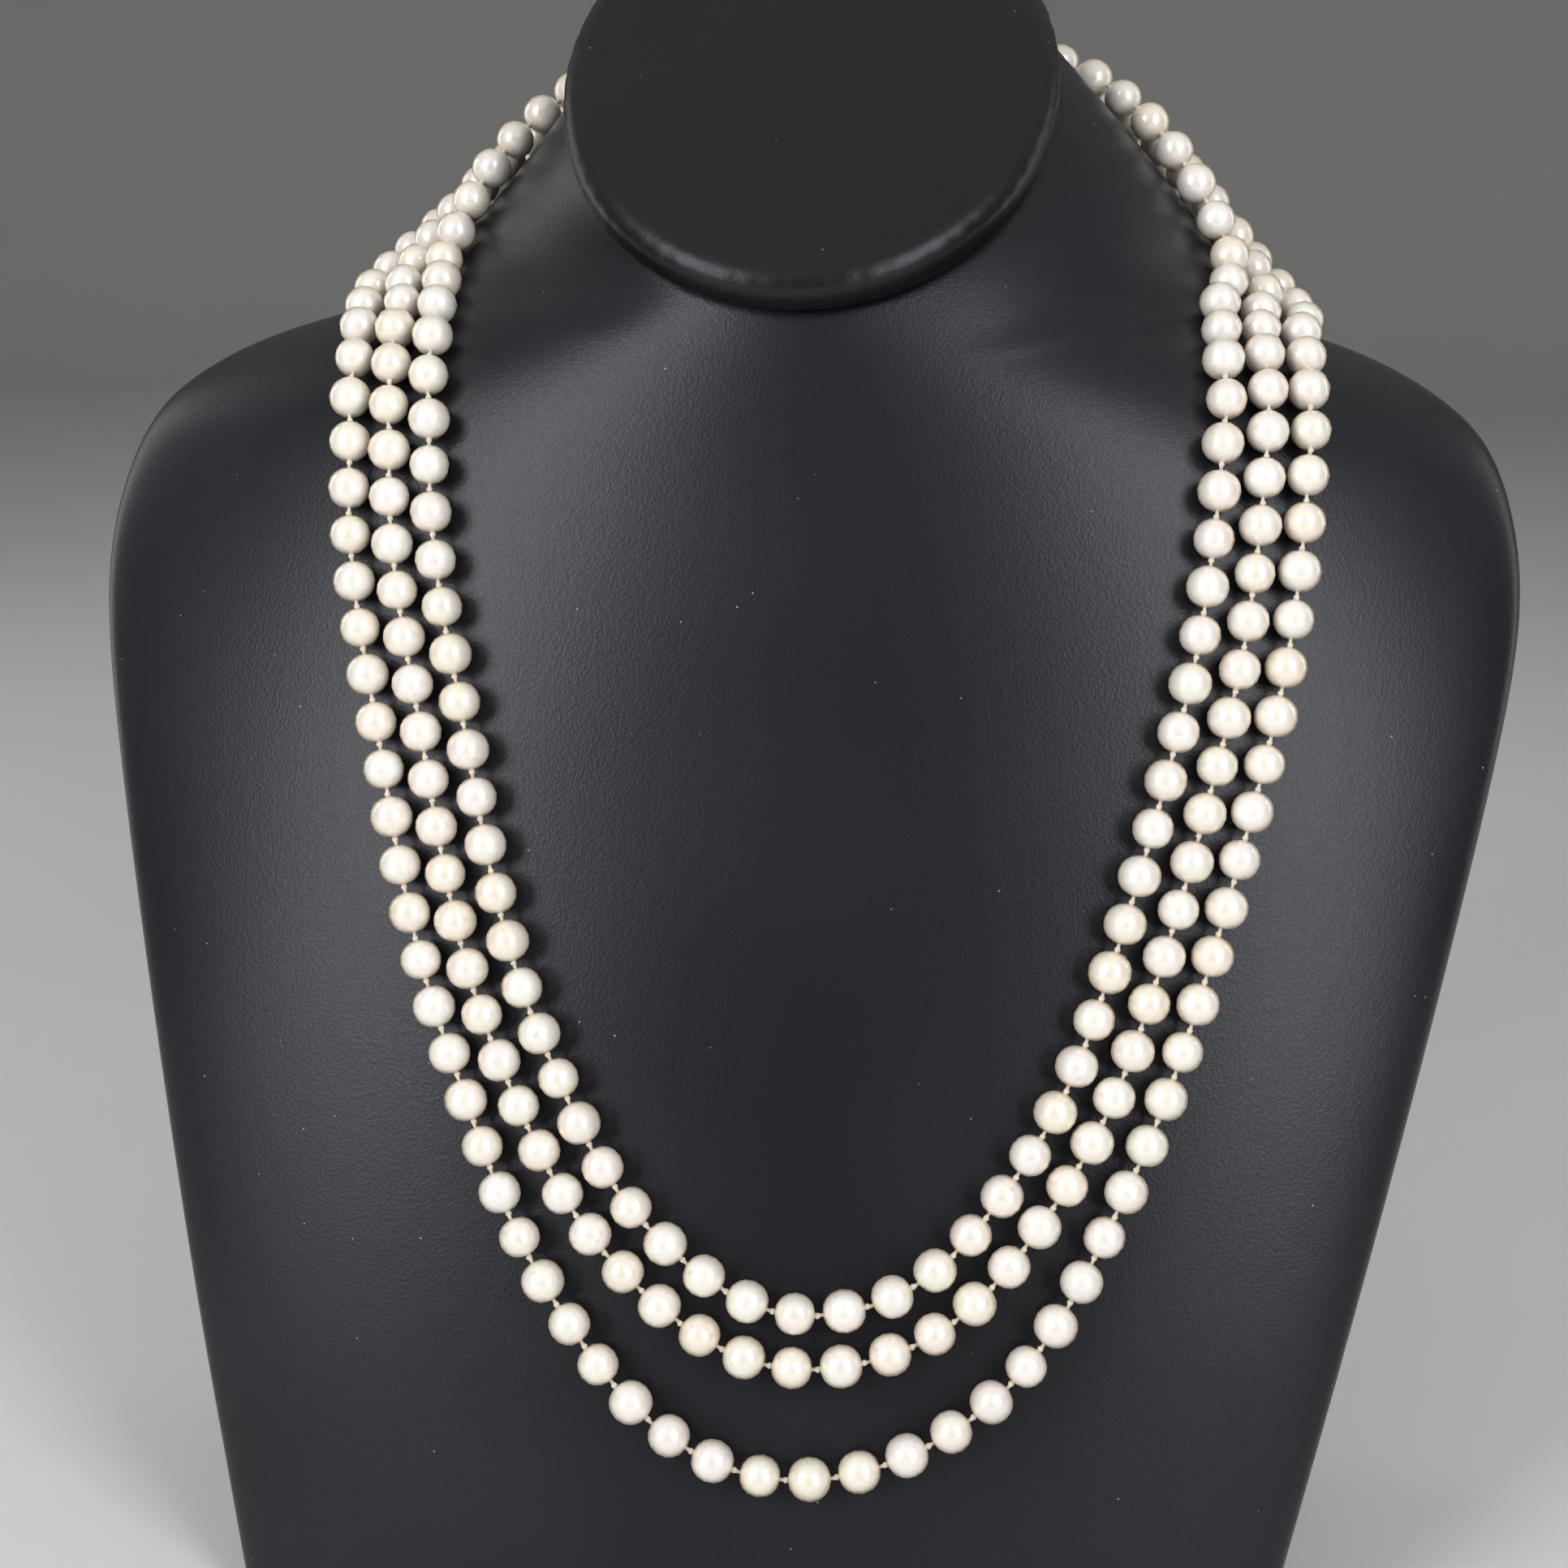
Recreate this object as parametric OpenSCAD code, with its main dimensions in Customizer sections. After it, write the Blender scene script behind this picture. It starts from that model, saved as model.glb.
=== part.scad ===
// Three-strand knotted pearl necklace on a neck bust, in millimetres.
// +Z is up, the chest faces -Y, and the origin is the centre of the bust's flat underside.

/* [Bust body] */
// Height of the shoulder line above the underside
shoulder_h = 216; // [190:2:240]
// Width across the shoulders
shoulder_w = 252; // [220:2:280]
// Depth of the body at its underside, from front to back
chest_d = 100; // [90:1:115]
// Angle by which the chest leans back from upright
chest_lean = 15; // [10:0.5:20]

/* [Neck] */
// Width of the padded neck top
neck_w = 86; // [78:1:94]
// Length of the padded neck top along its slant
neck_l = 100; // [92:1:108]
// Slant of the neck top from level
neck_slant = 45; // [38:1:50]
// Height of the throat between the chest and the front of the neck top
throat_rise = 5; // [3:0.5:9]
// Offset of the neck below the pad towards the right shoulder
neck_aside = 3.5; // [0:0.5:4]
// Thickness of the pad on the neck top
pad_t = 8; // [5:0.5:10]
// Radius of the pad's rolled edge
pad_roll = 3.5; // [1:0.1:4]
// Overhang of the pad past the neck
pad_lip = 2.6; // [1:0.1:4]
// Seam gap between the pad and the neck
pad_gap = 0.3; // [0.2:0.1:0.6]

/* [Pearls] */
// Mean diameter of a pearl
bead_d = 7.1; // [6.8:0.1:7.4]
// Free length left between two pearls for the silk knot
knot_gap = 0.95; // [0.8:0.05:1.3]
// Diameter of the hole drilled through each pearl
hole_d = 1.1; // [0.9:0.05:1.4]
// Diameter of the silk thread
thread_d = 0.6; // [0.4:0.05:0.7]
// Diameter of a silk knot
knot_d = 1.3; // [1.1:0.05:1.6]
// Length of a silk knot
knot_l = 0.4; // [0.3:0.05:0.5]
// Clearance between a pearl and the leather it lies on
rest_gap = 0.4; // [0.2:0.05:0.6]

/* [Clasp] */
// Length of the clasp along the strands
clasp_l = 24; // [20:1:32]
// Thickness of the clasp
clasp_t = 5; // [3:0.5:6]
// Distance between two strands at the clasp
clasp_pitch = 7.6; // [7.4:0.1:9]
// Radius of the clasp's rounded rim
clasp_rim = 1.5; // [0.5:0.1:2.4]
// Depth of the sockets that take the thread ends
socket_l = 2; // [1:0.5:4]

/* [Hidden] */

// Colours as the photo shows them
LEATHER = [0.13, 0.14, 0.16];
PAD_LEATHER = [0.10, 0.11, 0.12];
PEARL = [0.94, 0.91, 0.85];
SILK = [0.93, 0.89, 0.80];
METAL = [0.80, 0.72, 0.50];

// Level sections of the chest, from the underside to the shoulder line. UP is a share of shoulder_h,
// WIDE a share of half shoulder_w, and the rest are shares of chest_d measured back from the chest's
// middle: SIDE to the widest line, BACK to the back, ROLL the depth of the rolled side edge.
// SQUARE is how boxy the outline is: 2 is an oval, 6 has tight corners.
UP = 0; WIDE = 1; SIDE = 2; BACK = 3; ROLL = 4; SQUARE = 5; TILT = 6; ASIDE = 7;
CHEST = [
    [0.000, 0.69, 0.22, 1.00, 0.09, 6.0],
    [0.120, 0.74, 0.22, 0.96, 0.09, 6.0],
    [0.240, 0.79, 0.22, 0.92, 0.09, 6.0],
    [0.450, 0.88, 0.26, 0.86, 0.09, 6.0],
    [0.680, 0.97, 0.31, 0.81, 0.09, 6.0],
    [0.790, 1.00, 0.35, 0.80, 0.09, 6.0],
    [0.860, 0.99, 0.38, 0.81, 0.09, 5.5],
    [0.910, 0.96, 0.41, 0.825, 0.10, 5.0],
    [0.940, 0.915, 0.44, 0.84, 0.115, 4.5],
    [0.966, 0.845, 0.47, 0.86, 0.14, 4.0],
    [0.985, 0.765, 0.50, 0.87, 0.18, 3.5],
    [1.000, 0.68, 0.525, 0.88, 0.24, 3.0],
];
// Sections of the neck, which turn about the throat by TILT as a share of neck_slant. UP is a share of
// throat_rise, WIDE the share of the way out from the neck to the shoulders, and ASIDE a share of
// neck_aside. The rest are shares of a depth that passes from chest_d to neck_l as the neck narrows.
NECK = [
    [0.30, 0.485, 0.545, 0.89, 0.325, 2.5, 0.055, 0.25],
    [0.54, 0.405, 0.53, 0.90, 0.375, 2.15, 0.15, 0.55],
    [0.73, 0.315, 0.51, 0.895, 0.385, 2.0, 0.32, 0.9],
    [0.86, 0.215, 0.50, 0.90, 0.40, 2.0, 0.55, 1.0],
    [0.94, 0.10, 0.485, 0.925, 0.44, 2.0, 0.79, 0.7],
    [1.00, 0.00, 0.475, 0.95, 0.475, 2.0, 1.00, 0],
];

// Both tables in millimetres and degrees: the section's front point Y and Z, its tilt, half width,
// distance from the front to the side line and to the back, depth of its roll, and squareness
function leaned(z) = z * tan(chest_lean) - chest_d / 2;
function chest_section(c) = [
    leaned(c[UP] * shoulder_h), c[UP] * shoulder_h, 0,
    c[WIDE] * shoulder_w / 2, c[SIDE] * chest_d, c[BACK] * chest_d, c[ROLL] * chest_d, c[SQUARE], 0];
function neck_section(c) =
    let(up = shoulder_h + throat_rise * c[UP],
        depth = neck_l + (chest_d - neck_l) * c[WIDE] / CHEST[len(CHEST) - 1][WIDE])
    [leaned(up), up, neck_slant * c[TILT],
     neck_w / 2 - pad_lip + c[WIDE] * (shoulder_w - neck_w) / 2,
     c[SIDE] * depth, c[BACK] * depth, c[ROLL] * depth, c[SQUARE], c[ASIDE] * neck_aside];
SECTIONS = concat([for (c = CHEST) chest_section(c)], [for (c = NECK) neck_section(c)]);
LAST = len(SECTIONS) - 1;

// Smooth curve through a list of points or numbers, where t counts along the list
function through(p, t) =
    let(last = len(p) - 1, i = min(last - 1, max(0, floor(t))), f = t - i,
        a = p[max(0, i - 1)], b = p[i], c = p[i + 1], d = p[min(last, i + 2)])
    0.5 * (2 * b + (c - a) * f + (2 * a - 5 * b + 4 * c - d) * f * f
        + (3 * b - a - 3 * c + d) * f * f * f);

// Point of the bust's skin. level counts along SECTIONS, and turn goes round the body from the nape
// (0) by its left side as seen from the front (90), the chest (180) and its right side (270).
function skin(level, turn) =
    let(s = through(SECTIONS, level), across = -sin(turn), square = max(2, s[7]),
        corner = pow(max(0, 1 - pow(abs(across), square)), 1 / square),
        belly = (s[4] - s[6]) * (1 - across * across),
        reach = cos(turn) > 0 ? s[4] + (s[5] - s[4]) * corner : s[4] - s[6] * corner - belly)
    [s[8] + s[3] * across, s[0] + reach * cos(s[2]), s[1] + reach * sin(s[2])];

function unit(v) = v / norm(v);
// Outward direction of the skin
NEAR = 0.01;
function outward(level, turn) =
    unit(cross(skin(level, turn + NEAR) - skin(level, turn - NEAR),
               skin(level + NEAR, turn) - skin(level - NEAR, turn)));

// Centre of a pearl that lies on the skin, where place is [level, turn]
LIFT = bead_d / 2 + rest_gap;
function resting(place) = skin(place[0], place[1]) + LIFT * outward(place[0], place[1]);

// Route of the middle strand on the skin, chosen by hand from the photo: from the clasp at the nape down
// the left side, across the chest and up the right side back to the clasp. INSIDE and OUTSIDE are the
// distances to the inner and the outer strand in pearl diameters.
LEVEL = 0; TURN = 1; INSIDE = 2; OUTSIDE = 3;
NAPE = 15.1;
NAPE_TURN = asin(clasp_l / 2 / through(SECTIONS, NAPE)[3]);
ROUTE = [
    [NAPE, NAPE_TURN, 1.07, 1.07], [15.0, 38, 1.07, 1.07], [14.8, 61, 1.07, 1.07],
    [14.3, 82, 1.07, 1.07], [13.7, 96, 1.07, 1.07], [12.8, 110, 1.07, 1.07], [11.0, 126.7, 1.07, 1.07],
    [9.3, 139, 1.07, 1.07], [7.5, 145.5, 1.07, 1.07], [5.7, 148.6, 1.07, 1.09],
    [4.4, 151, 1.08, 1.09], [3.55, 153.5, 1.12, 1.08], [3.0, 158, 1.15, 1.10],
    [2.45, 166.5, 1.15, 1.6], [2.05, 182, 1.25, 2.6], [2.2, 198, 1.2, 2.05],
    [2.75, 209, 1.08, 1.25], [3.35, 213.8, 1.09, 1.08], [4.2, 216.4, 1.07, 1.07],
    [5.8, 218.2, 1.07, 1.07], [7.7, 222, 1.07, 1.07], [9.5, 230, 1.07, 1.07],
    [11.2, 246, 1.07, 1.10], [12.95, 263, 1.07, 1.07], [13.95, 275, 1.07, 1.07],
    [14.55, 287, 1.07, 1.07], [14.9, 304, 1.07, 1.07], [15.05, 325, 1.07, 1.07],
    [NAPE, 360 - NAPE_TURN, 1.07, 1.07]];

// Place on the skin that a step in millimetres leads to
function moved(place, step) =
    let(u = skin(place[0] + NEAR, place[1]) - skin(place[0] - NEAR, place[1]),
        v = skin(place[0], place[1] + NEAR) - skin(place[0], place[1] - NEAR),
        out = cross(v, u))
    place - 2 * NEAR / (out * out) * [cross(step, v) * out, cross(u, step) * out];
// Place whose pearl lies at a distance from that of another place, square to the unit vector ahead,
// found in a few tries from a rough one
TRIES = 5;
function beside(place, ahead, distance, rough, tries = TRIES) =
    tries == 0 ? rough :
    let(off = resting(rough) - resting(place), square = off - (off * ahead) * ahead)
    beside(place, ahead, distance, moved(rough, distance * unit(square) - off), tries - 1);

// Place of a strand at t along the route: row is 1 for the inner strand, 0 for the middle one and -1
// for the outer one
function on_route(t) = let(p = through(ROUTE, t)) [p[LEVEL], p[TURN]];
function on_skin(t) = let(p = on_route(t)) skin(p[0], p[1]);
function strand_place(t, row) =
    let(place = on_route(t))
    row == 0 ? place :
    let(ahead = unit(on_skin(t + NEAR) - on_skin(t - NEAR)),
        away = bead_d * through(ROUTE, t)[row > 0 ? INSIDE : OUTSIDE])
    beside(place, ahead, away, moved(place, row * away * cross(outward(place[0], place[1]), ahead)));

// Pearl sizes differ a little, as percentages of the mean, repeated along each strand from its own start
SIZE_SPREAD = [0, 2, -1.5, 1, -3, 2.5, 0.5, -2, 3, -0.5, 1.5, -2.5, 2];
function size_of(i, start) = bead_d * (1 + SIZE_SPREAD[(i + start) % len(SIZE_SPREAD)] / 100);

// Line that a strand's pearls lie on: their resting places along the route, pulled a little straighter
// where the skin turns in, as the strand bridges a sharp hollow
STEPS = 16;
PULLS = 14;
function pulled(line, times = PULLS) =
    times == 0 ? line :
    let(last = len(line) - 1)
    pulled([for (i = [0 : last])
        i == 0 || i == last ? line[i] : (line[i - 1] + 2 * line[i] + line[i + 1]) / 4], times - 1);
function strand_line(row) =
    pulled([for (i = [0 : (len(ROUTE) - 1) * STEPS]) resting(strand_place(i / STEPS, row))]);

// Pairs of length along a line and number of its point, for looking up a point by its length
function lengths(line, i = 0, sum = 0) =
    i == len(line) ? [] :
    let(s = sum + (i == 0 ? 0 : norm(line[i] - line[i - 1])))
    concat([[s, i]], lengths(line, i + 1, s));
function on_line(line, n) =
    let(i = min(len(line) - 2, floor(n))) line[i] + (n - i) * (line[i + 1] - line[i]);

function sum_to(v, i) = i < 0 ? 0 : v[i] + sum_to(v, i - 1);
// Pearls of one strand as [centre, diameter, outward], evened out so that the strand fills its line
function pearls(row, start) =
    let(line = strand_line(row), table = lengths(line), whole = table[len(table) - 1][0],
        count = floor((whole - knot_gap) / (bead_d + knot_gap)),
        sizes = [for (i = [0 : count - 1]) size_of(i, start)],
        gap = (whole - sum_to(sizes, count - 1)) / (count + 1))
    [for (i = [0 : count - 1])
        let(n = lookup(sum_to(sizes, i) - sizes[i] / 2 + gap * (i + 1), table),
            place = on_route(n / STEPS))
        [on_line(line, n), sizes[i], outward(place[0], place[1])]];

// Where in the list of sizes the middle and the outer strand start
MIDDLE_FROM = 4;
OUTER_FROM = 9;
INNER = pearls(1, 0);
MIDDLE = pearls(0, MIDDLE_FROM);
OUTER = pearls(-1, OUTER_FROM);

// Direction of the drilled hole: along the strand, from the pearl before to the pearl after
function along(strand, i) =
    unit(strand[min(len(strand) - 1, i + 1)][0] - strand[max(0, i - 1)][0]);

// Clasp at the nape, level with the strands: its middle, and its upward and outward directions
CLASP_OUT = let(out = outward(NAPE, 0)) unit([0, out[1], out[2]]);
CLASP_UP = cross([1, 0, 0], CLASP_OUT);
CLASP_AT = resting([NAPE, 0]);
// Mouth of the socket of a row, where side is -1 for the left end and 1 for the right
function socket_at(side, row) = CLASP_AT + [side * clasp_l / 2, 0, 0] + row * clasp_pitch * CLASP_UP;

// Lofted solid through closed rings of the same number of points
module loft(rings) {
    n = len(rings[0]);
    top = (len(rings) - 1) * n;
    sides = [for (i = [0 : len(rings) - 2], k = [0 : n - 1])
        let(a = i * n + k, b = i * n + (k + 1) % n) each [[a, a + n, b + n], [a, b + n, b]]];
    polyhedron(
        points = [for (ring = rings) each ring],
        faces = concat([[for (k = [0 : n - 1]) k]], [[for (k = [n - 1 : -1 : 0]) top + k]], sides));
}

ROUND_BUST = 56;
RINGS_A_SECTION = 2;
module bust() {
    color(LEATHER)
    loft([for (i = [0 : LAST * RINGS_A_SECTION])
        [for (k = [0 : ROUND_BUST - 1]) skin(i / RINGS_A_SECTION, 360 * k / ROUND_BUST)]]);
}

// Ring of the pad: inset from its outline and rise above the neck top
ROUND_PAD = 48;
function pad_ring(inset, rise) =
    let(s = SECTIONS[LAST], middle = s[4])
    [for (k = [0 : ROUND_PAD - 1])
        let(a = 360 * k / ROUND_PAD, x = -(neck_w / 2 - inset) * sin(a),
            y = middle + (neck_l / 2 - inset) * cos(a))
        [x, s[0] + y * cos(s[2]) - rise * sin(s[2]), s[1] + y * sin(s[2]) + rise * cos(s[2])]];

PAD_ARC = [0 : 22.5 : 90];
PAD_FOOT = 1;
module neck_pad() {
    top = pad_gap + pad_t;
    color(PAD_LEATHER)
    loft(concat(
        [pad_ring(PAD_FOOT, pad_gap), pad_ring(0, pad_gap + PAD_FOOT)],
        [for (a = PAD_ARC) pad_ring(pad_roll * (1 - cos(a)), top - pad_roll * (1 - sin(a)))]));
}

module clasp() {
    // Turned so that its own Y points outward and its own Z up along the nape
    color(METAL)
    multmatrix([
        [1, CLASP_OUT[0], CLASP_UP[0], CLASP_AT[0]],
        [0, CLASP_OUT[1], CLASP_UP[1], CLASP_AT[1]],
        [0, CLASP_OUT[2], CLASP_UP[2], CLASP_AT[2]],
        [0, 0, 0, 1]])
    difference() {
        clasp_bar(clasp_l, clasp_t, 2 * clasp_pitch + clasp_t, clasp_rim);
        for (side = [-1, 1], row = [-1 : 1])
            translate([side * clasp_l / 2, 0, row * clasp_pitch])
                rotate([0, 90, 0])
                    cylinder(d = hole_d, h = 2 * socket_l, center = true, $fn = 24);
    }
}

// Bar with its long edges rounded along X
module clasp_bar(length, thick, high, rim) {
    rotate([90, 0, 90])
        linear_extrude(length, center = true)
            union() {
                square([thick - 2 * rim, high], center = true);
                square([thick, high - 2 * rim], center = true);
                for (x = [-1, 1], y = [-1, 1])
                    translate([x * (thick / 2 - rim), y * (high / 2 - rim)])
                        circle(r = rim, $fn = 32);
            }
}

// One drilled pearl at the origin with its hole along Z
module pearl(d) {
    difference() {
        sphere(d = d, $fn = 32);
        cylinder(d = hole_d, h = 2 * d, center = true, $fn = 24);
    }
}

// Turns and moves its children so that their Z axis points along dir at a place
module aimed(place, dir) {
    translate(place)
        rotate([0, acos(dir[2]), atan2(dir[1], dir[0])])
            children();
}

module strand(beads) {
    color(PEARL)
    for (i = [0 : len(beads) - 1])
        aimed(beads[i][0], along(beads, i)) pearl(beads[i][1]);
}

// Rings of the thread with its knots: it runs straight through each hole and swells to a knot between
// two pearls and beside the clasp. out is the way out from the skin, so that the rings don't twist.
THREAD_SIDES = 5;
function thread_ring(place, dir, out, d) =
    let(side = unit(cross(dir, out)), other = cross(dir, side))
    [for (k = [0 : THREAD_SIDES - 1])
        let(a = 360 * k / THREAD_SIDES) place + d / 2 * (cos(a) * side + sin(a) * other)];
function knot_rings(from, to, out) =
    let(dir = unit(to - from), mid = (from + to) / 2)
    [for (way = [-1, 1]) thread_ring(mid + way * knot_l / 2 * dir, dir, out, knot_d)];
function socket_rings(places) = [for (p = places) thread_ring(p, [-1, 0, 0], CLASP_OUT, thread_d)];
function hole_end(beads, i, way) = beads[i][0] + way * beads[i][1] / 2 * along(beads, i);

function hole_rings(beads, i) = [for (way = [-1, 1])
    thread_ring(hole_end(beads, i, way), along(beads, i), beads[i][2], thread_d)];

module thread(beads, row) {
    last = len(beads) - 1;
    reach = [socket_l / 2, 0, 0];
    start = socket_at(-1, row);
    end = socket_at(1, row);
    color(SILK)
    loft(concat(
        socket_rings([start + reach, start]),
        knot_rings(start, hole_end(beads, 0, -1), beads[0][2]),
        [for (i = [0 : last])
            let(next = i < last ? hole_end(beads, i + 1, -1) : end)
            each concat(hole_rings(beads, i), knot_rings(hole_end(beads, i, 1), next, beads[i][2]))],
        socket_rings([end, end - reach])));
}

module inner_strand() { strand(INNER); }
module middle_strand() { strand(MIDDLE); }
module outer_strand() { strand(OUTER); }
module inner_thread() { thread(INNER, 1); }
module middle_thread() { thread(MIDDLE, 0); }
module outer_thread() { thread(OUTER, -1); }

bust();
neck_pad();
clasp();
inner_strand();
middle_strand();
outer_strand();
inner_thread();
middle_thread();
outer_thread();
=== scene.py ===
"""Dress a multi strand pearl necklace and the neck bust that it hangs on.

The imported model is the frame. Every piece takes its place and size from the node that it stands for:
the leatherette skin from the bust, the stretched cover from the neck pad, each pearl and each silk knot
from the drilled pearls of its strand. All lengths are in metres, +Z is up and the chest faces -Y.
"""

from __future__ import annotations

import logging
import math
import random
from collections.abc import Callable, Iterator
from contextlib import contextmanager
from dataclasses import dataclass, field
from enum import Enum
from itertools import accumulate

import bmesh
import bpy
from mathutils import Matrix, Vector

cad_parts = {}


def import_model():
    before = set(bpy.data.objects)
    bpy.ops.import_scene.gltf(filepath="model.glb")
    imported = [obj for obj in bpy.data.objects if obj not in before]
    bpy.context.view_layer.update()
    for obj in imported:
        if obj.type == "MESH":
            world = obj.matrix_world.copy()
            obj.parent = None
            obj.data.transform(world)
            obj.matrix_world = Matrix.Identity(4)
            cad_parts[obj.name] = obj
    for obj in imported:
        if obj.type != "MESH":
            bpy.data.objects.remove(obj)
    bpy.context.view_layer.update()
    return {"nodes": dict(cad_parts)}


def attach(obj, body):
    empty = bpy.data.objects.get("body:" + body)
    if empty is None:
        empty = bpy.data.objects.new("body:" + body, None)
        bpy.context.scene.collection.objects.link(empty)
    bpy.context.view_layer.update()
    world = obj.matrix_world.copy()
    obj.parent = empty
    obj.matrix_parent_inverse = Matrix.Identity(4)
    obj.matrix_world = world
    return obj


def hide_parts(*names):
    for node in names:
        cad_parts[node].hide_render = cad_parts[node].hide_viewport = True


log = logging.getLogger("necklace")

MM = 0.001
TOUCH = 1e-6  # two places nearer than this count as one
Colour = tuple[float, float, float, float]
BLACK: Colour = (0.0, 0.0, 0.0, 1.0)


# Modelling by hand


class Part(Enum):
    """What is picked in edit mode."""

    VERT = "VERT"
    EDGE = "EDGE"
    FACE = "FACE"


def activate(piece: bpy.types.Object) -> None:
    """Make a piece the only selected and the active one.

    Args:
        piece: The object to work on.
    """
    if bpy.context.mode != "OBJECT":
        bpy.ops.object.mode_set(mode="OBJECT")
    bpy.ops.object.select_all(action="DESELECT")
    piece.select_set(True)
    bpy.context.view_layer.objects.active = piece


@contextmanager
def editing(piece: bpy.types.Object, part: Part = Part.VERT) -> Iterator[bmesh.types.BMesh]:
    """Open a piece in edit mode with all of it selected, and close it again.

    Args:
        piece: The object to shape.
        part: What the selection counts in.

    Yields:
        The mesh under the edit operators.
    """
    activate(piece)
    bpy.ops.object.mode_set(mode="EDIT")
    bpy.ops.mesh.select_mode(type=part.value)
    bpy.ops.mesh.select_all(action="SELECT")
    yield bmesh.from_edit_mesh(piece.data)
    bpy.ops.object.mode_set(mode="OBJECT")


def pick(piece: bpy.types.Object, part: Part, wanted: Callable[[Vector], bool]) -> None:
    """Select by place, in edit mode.

    Args:
        piece: The object in edit mode.
        part: What to select.
        wanted: Says of a vertex's place, or of an edge's or a face's middle, whether it is selected.
    """
    bpy.ops.mesh.select_mode(type=part.value)
    bpy.ops.mesh.select_all(action="DESELECT")
    mesh = bmesh.from_edit_mesh(piece.data)
    if part is Part.VERT:
        chosen = [v for v in mesh.verts if wanted(v.co)]
    elif part is Part.EDGE:
        chosen = [e for e in mesh.edges if wanted((e.verts[0].co + e.verts[1].co) / 2)]
    else:
        chosen = [f for f in mesh.faces if wanted(f.calc_center_median())]
    for element in chosen:
        element.select_set(True)
    mesh.select_flush_mode()
    bmesh.update_edit_mesh(piece.data)


def named(piece: bpy.types.Object, name: str) -> bpy.types.Object:
    """Name a piece and its mesh alike.

    Args:
        piece: The object.
        name: Its new name.

    Returns:
        The same object.
    """
    piece.name = name
    piece.data.name = name
    return piece


def apply_all(piece: bpy.types.Object) -> None:
    """Apply every modifier of a piece in order.

    Args:
        piece: The object whose modifiers become mesh.
    """
    activate(piece)
    for modifier in list(piece.modifiers):
        bpy.ops.object.modifier_apply(modifier=modifier.name)


def subdivided(piece: bpy.types.Object, levels: int) -> None:
    """Smooth a piece with a subdivision surface and apply it.

    Args:
        piece: The object to smooth.
        levels: Number of subdivisions.
    """
    surface = piece.modifiers.new("Rounding", "SUBSURF")
    surface.levels = surface.render_levels = levels
    apply_all(piece)


def corners_of(points: list[Vector]) -> tuple[Vector, Vector]:
    """Find the box around some points.

    Args:
        points: The points.

    Returns:
        The box's lowest and highest corner.
    """
    low = Vector([min(p[i] for p in points) for i in range(3)])
    high = Vector([max(p[i] for p in points) for i in range(3)])
    return low, high


def twin_of(model: bpy.types.Object, name: str) -> bpy.types.Object:
    """Copy an object with a mesh of its own.

    Args:
        model: The object.
        name: Name of the copy.

    Returns:
        The copy, in the scene.
    """
    twin = bpy.data.objects.new(name, model.data.copy())
    bpy.context.scene.collection.objects.link(twin)
    return twin


def copy_of(node: bpy.types.Object, name: str) -> bpy.types.Object:
    """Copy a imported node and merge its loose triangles.

    Args:
        node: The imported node.
        name: Name of the copy.

    Returns:
        A free object with a closed mesh.
    """
    piece = named(twin_of(node, name), name)
    piece.data.materials.clear()
    with editing(piece):
        bpy.ops.mesh.customdata_custom_splitnormals_clear()
        bpy.ops.mesh.remove_doubles(threshold=TOUCH)
    return piece


def joined(pieces: list[bpy.types.Object], name: str) -> bpy.types.Object:
    """Join pieces into the first one.

    Args:
        pieces: The objects to join.
        name: Name of the result.

    Returns:
        The joined object.
    """
    activate(pieces[0])
    for piece in pieces[1:]:
        piece.select_set(True)
    bpy.ops.object.join()
    return named(bpy.context.view_layer.objects.active, name)


def settle(
    piece: bpy.types.Object, slot: str, finish: bpy.types.Material, *nodes: str
) -> bpy.types.Object:
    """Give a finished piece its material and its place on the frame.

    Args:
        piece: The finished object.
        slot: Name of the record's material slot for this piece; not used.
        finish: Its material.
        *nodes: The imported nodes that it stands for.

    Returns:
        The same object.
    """
    piece.data.materials.clear()
    piece.data.materials.append(finish)
    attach(piece, "root")
    if nodes:
        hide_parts(*nodes)
    log.info("%s: %d faces", piece.name, len(piece.data.polygons))
    return piece


# Shader effects that more than one finish uses

# The Mix node lists the sockets of all its kinds: these are its share, its two colours and its result
MIX_INPUTS = (0, 6, 7)
MIX_OUTPUT = 2


@dataclass
class Effect:
    """A shader node group under construction."""

    name: str
    tree: bpy.types.ShaderNodeTree = field(init=False)
    given: bpy.types.Node = field(init=False)
    result: bpy.types.Node = field(init=False)

    def __post_init__(self) -> None:
        """Start the group with its two ends."""
        self.tree = bpy.data.node_groups.new(self.name, "ShaderNodeTree")
        self.given = self.tree.nodes.new("NodeGroupInput")
        self.result = self.tree.nodes.new("NodeGroupOutput")

    def input(self, name: str, kind: str, value: float | None = None) -> bpy.types.NodeSocket:
        """Add a named input.

        Args:
            name: The socket's name.
            kind: Float, Color or Vector.
            value: What it holds when nothing is set.

        Returns:
            The socket to link from inside the group.
        """
        socket = self.tree.interface.new_socket(
            name=name, in_out="INPUT", socket_type=f"NodeSocket{kind}"
        )
        if value is not None:
            socket.default_value = value
        return self.given.outputs[name]

    def output(self, name: str, kind: str, source: bpy.types.NodeSocket) -> None:
        """Add a named output and feed it.

        Args:
            name: The socket's name.
            kind: Float, Color or Vector.
            source: The socket inside the group that feeds it.
        """
        self.tree.interface.new_socket(name=name, in_out="OUTPUT", socket_type=f"NodeSocket{kind}")
        self.tree.links.new(source, self.result.inputs[name])


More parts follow.
